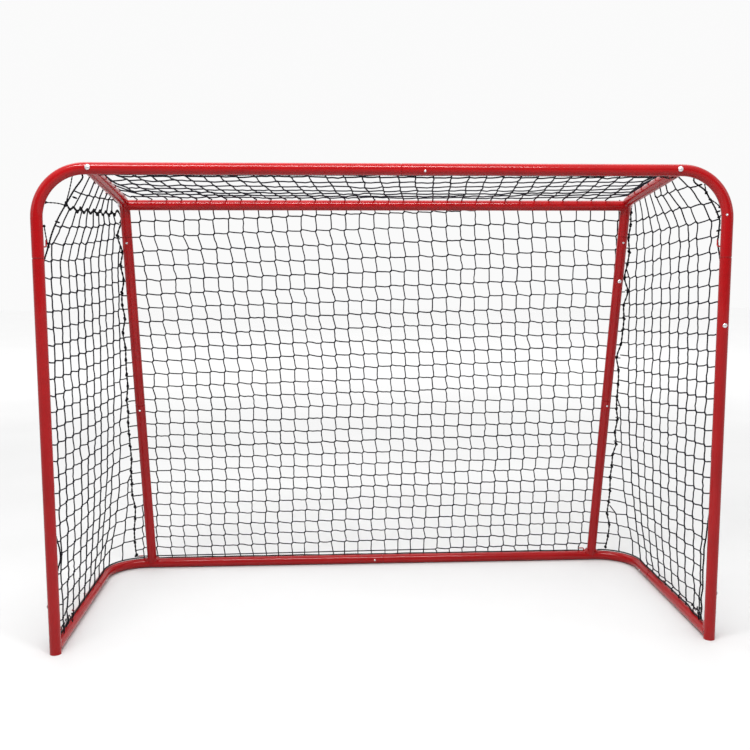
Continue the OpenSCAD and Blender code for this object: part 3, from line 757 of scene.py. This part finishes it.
# ---------------------------------------------------------------- seam cords

SEAM_D = 5.4 * MM
SEAM_TOP = {-1: bar_z - 82 * MM, 1: bar_z - 66 * MM}      # the left one goes on as the lacing


def seam(side, name, node):
    """Doubled lacing cord with a knot at each mesh, drawn this way and that by the meshes."""
    bag = Bag()
    line = []
    z = 40 * MM
    while z < SEAM_TOP[side]:
        p = seam_point(side, z) + np.array([rng.normal(0, 3.6 * MM), rng.normal(0, 2.4 * MM), 0])
        line.append(p)
        knot(bag, p, np.array([rng.normal(0, 0.5), rng.normal(0, 0.4), 1.0]), 6.5 * MM, 3.9 * MM, BLOB)
        z += rng.uniform(34, 44) * MM
    line = [p for p in line if p[2] < SEAM_TOP[side] - 12 * MM] + [seam_point(side, SEAM_TOP[side])]
    if side < 0:
        lacing = [lacing_point(y) for y in LACING_Y[::-1]]
        for p in lacing[1:]:
            knot(bag, p, rng.normal(0, 1, 3) * [0, 1, 1], 6 * MM, 3.2 * MM, BLOB)
        line += lacing
    laid_rope(bag, line, SEAM_D, 2, 0.03)
    bag.make(name, ROPE, slot_of[node], node)


seam(1, "lacing_right", "seam_cord_right")
seam(-1, "lacing_left", "seam_cord_left")

# ---------------------------------------------------------------- border ropes

BORDER_D = 4.6 * MM
edge_z = 2 * tube_r + 3.5 * MM


def lash(bag, points, thickness=3.4 * MM):
    """A short cord with a knot at each end."""
    laid_rope(bag, points, thickness, 2, 0.016)
    for p in (points[0], points[-1]):
        knot(bag, p, rng.normal(0, 1, 3), 4.5 * MM, 3 * MM, BLOB)


def shifted(p, x, y, z):
    """The point p moved by x, y and z millimetres."""
    return p + np.array([x, y, z]) * MM


def border_top_left():
    """The rope's top end, its short cords and its loose ends, all for positive X."""
    start = np.array([side_x + 18 * MM, 12 * MM, bar_z - 13 * MM])
    junction = np.array([side_x + 61 * MM, 20 * MM, bar_z - 83 * MM])
    hook = np.array([post_x - 18 * MM, 23 * MM, hook_z])
    line = [start, shifted(start, 2, 8, -9), shifted(mix(start, junction, 0.5), 0, 4, 0), junction]
    line += [shifted(mix(junction, hook, t), 20 * t * (1 - t), 0, 0) for t in (0.25, 0.5, 0.75)] + [hook]
    under_bar = np.array([side_x + 40 * MM, 13 * MM, bar_z - 14 * MM])
    on_leg = np.array([post_x - 20 * MM, 8 * MM, bar_z - 77 * MM])
    lashes = [(junction, shifted(mix(junction, under_bar, 0.5), 0, 4, 0), under_bar),
              (junction, shifted(mix(junction, on_leg, 0.4), 0, 0, 2), on_leg),
              (shifted(hook, 5, -9, 48), shifted(hook, 3, -5, 24), hook)]
    tails = [shifted(mix(start, junction, 0.75), -12, 0, 0), shifted(mix(junction, hook, 0.4), 2, -2, 0)]
    return line, lashes, tails


def right_edge(z):
    """The right border rope at a height in the corner, where it follows the bent tube."""
    v = (z - FRONT_LOW[2]) / (FRONT_TOP[2] - FRONT_LOW[2])
    return np.array([side_front(v, 1)[0], 25 * MM, z])


def border_top_right():
    """As border_top_left(), for the other corner."""
    start = np.array([side_x + 42 * MM, 10 * MM, bar_z - 13 * MM])
    line = [start] + [right_edge(z) for z in np.linspace(bar_z - 26 * MM, hook_z + 7 * MM, 9)]
    high, middle, low = [right_edge(bar_z - drop * MM) for drop in (51, 67, 109)]
    bar = np.array([side_x - 36 * MM, 15 * MM, bar_z - 14 * MM])
    lashes = [(high, shifted(high, -6, -6, 15), shifted(high, -12, -14, 31)),
              (middle, shifted(middle, 10, -5, -7), shifted(middle, 19, -15, -18)),
              (low, shifted(low, 3, -6, 5), shifted(low, 6, -11, 9)),
              (shifted(bar, 35, 3, -1), shifted(bar, 17, 5, -3), bar)]
    tails = [shifted(high, -18, -4, 18), shifted(low, -5, -5, 13), shifted(low, -2, -6, -32)]
    return line, lashes, tails


def foot_tangle(bag, turns):
    """The spare end of a cord, wound this way and that over the net's lowest meshes behind a foot."""
    start = np.array([post_x - 5 * MM, 34 * MM, edge_z + 2 * MM])
    line = [start]
    for k in range(turns):
        inwards, along, up = rng.uniform((0, -7, -5), (9, 7, 8))
        line.append(shifted(start, -inwards, 5 + 9 * k + along, 6 + 18 * (k % 2) + up))
    laid_rope(bag, np.array(line), 2.9 * MM, 2, 0.016)
    knot(bag, line[-1], rng.normal(0, 1, 3), 4 * MM, 2.6 * MM, BLOB)


def border(side, name, node):
    """Rope down the post's back, back along the top of the base tube and round its rear corner."""
    line, lashes, tails = border_top_left() if side < 0 else border_top_right()
    for z in np.linspace(hook_z - 40 * MM, 70 * MM, 34):
        line.append(np.array([post_x - rope_inset(side, z) + rng.normal(0, 0.8 * MM), 25 * MM, z]))
    line += [np.array([post_x - rope_inset(side, 42 * MM), 32 * MM, 42 * MM]),
             np.array([post_x, 62 * MM, edge_z])]
    for y in np.linspace(100 * MM, corner_y, 9):
        line.append(np.array([post_x + rng.normal(0, 1.5 * MM), y, edge_z]))
    for turn in np.radians(np.arange(10, 81, 10)):
        line.append(np.array([corner_x + base_corner_r * math.cos(turn),
                              corner_y + base_corner_r * math.sin(turn), edge_z]))
    line.append(np.array([corner_x + 10 * MM, border_floor_y, border_floor_z]))
    drawn = Bag()                # for positive X, then mirrored if need be
    laid_rope(drawn, np.array(line), BORDER_D, 3, 0.02)
    for points in lashes:
        lash(drawn, np.array(points))
    for p in tails:
        knot(drawn, p, np.array([0.8, -0.3, 0.3]), 6 * MM, 2.4 * MM)
    foot_tangle(drawn, 10 if side < 0 else 6)
    bag = Bag()
    bag.add(np.vstack(drawn.points) * np.array([side, 1, 1]), [face[::side] for face in drawn.faces])
    bag.make(name, ROPE, slot_of[node], node)


border(1, "border_rope_right", "border_cord_right")
border(-1, "border_rope_left", "border_cord_left")


def straight_border(name, node, y, z, half):
    """Rope along X, half the given length to both sides."""
    bag = Bag()
    line = [[x, y + rng.normal(0, 0.5 * MM), z + rng.normal(0, 0.5 * MM)]
            for x in np.linspace(-half, half, 40)]
    laid_rope(bag, line, BORDER_D, 3, 0.02)
    bag.make(name, ROPE, slot_of[node], node)


straight_border("border_rope_crossbar", "border_cord_crossbar", BORDER_OFF, bar_z - BORDER_OFF, ROOF_HALF)
straight_border("border_rope_floor", "border_cord_floor", border_floor_y, border_floor_z, corner_x)

# ---------------------------------------------------------------- floor and light


def studio_floor():
    """A pale floor that fades into the white surroundings."""
    mesh = bpy.data.meshes.new("studio_floor")
    size = 14.0
    corners = [(-size, -size, 0), (size, -size, 0), (size, size, 0), (-size, size, 0)]
    mesh.from_pydata(corners, [], [(0, 1, 2, 3)])
    made = bpy.data.objects.new("studio_floor", mesh)
    bpy.context.scene.collection.objects.link(made)
    material, tree, shader, coords = new_material("studio_floor")
    tone = ramp(tree, noise(tree, coords, 2.0), [(0.3, (0.62, 0.62, 0.62)), (0.7, (0.64, 0.64, 0.64))])
    tree.links.new(tone, shader.inputs["Base Color"])
    distance = tree.nodes.new("ShaderNodeVectorMath")
    distance.operation = "LENGTH"
    tree.links.new(coords, distance.inputs[0])
    glow = span(tree, distance.outputs["Value"], 0.0, 0.36)
    glow.node.interpolation_type = "SMOOTHSTEP"
    glow.node.inputs["From Min"].default_value = 1.8
    glow.node.inputs["From Max"].default_value = 6.5
    tree.links.new(glow, shader.inputs["Emission Strength"])
    shader.inputs["Emission Color"].default_value = (1, 1, 1, 1)
    shader.inputs["Roughness"].default_value = 0.9
    shader.inputs["Specular IOR Level"].default_value = 0.1
    mesh.materials.append(material)


def softbox(name, location, target, size, power):
    """A rectangular area light aimed at target."""
    light = bpy.data.lights.new(name, "AREA")
    light.shape = "RECTANGLE"
    light.size, light.size_y = size
    light.energy = power
    made = bpy.data.objects.new(name, light)
    made.location = location
    way = Vector(target) - Vector(location)
    made.rotation_euler = way.to_track_quat("-Z", "Y").to_euler()
    bpy.context.scene.collection.objects.link(made)


def studio_world():
    """Soft daylight, white above and behind the goal and greyer in front of it, so that tubes keep depth."""
    world = bpy.data.worlds.new("studio")
    world.use_nodes = True
    tree = world.node_tree
    facing = tree.nodes.new("ShaderNodeVectorMath")
    facing.operation = "DOT_PRODUCT"
    facing.inputs[1].default_value = (0.0, 0.6, 0.8)
    tree.links.new(tree.nodes.new("ShaderNodeTexCoord").outputs["Generated"], facing.inputs[0])
    grey = span(tree, facing.outputs["Value"], 0.20, 0.96)
    grey.node.inputs["From Min"].default_value = -0.45
    grey.node.inputs["From Max"].default_value = 0.30
    tree.links.new(grey, tree.nodes["Background"].inputs["Strength"])
    tree.nodes["Background"].inputs["Color"].default_value = (1, 1, 1, 1)
    bpy.context.scene.world = world


studio_floor()
studio_world()
softbox("key", (-0.3, -1.3, 2.45), (0, 0.1, 1.1), (2.2, 0.3), 62)
softbox("top", (0, 2.4, 4.6), (0, 2.2, 0), (6.0, 3.6), 110)
softbox("left", (-3.4, -1.6, 2.0), (-0.8, 0, 0.9), (0.7, 1.6), 7)
softbox("right", (3.4, -1.6, 2.0), (0.8, 0, 0.9), (0.7, 1.6), 7)
bpy.context.scene.view_settings.view_transform = "Standard"
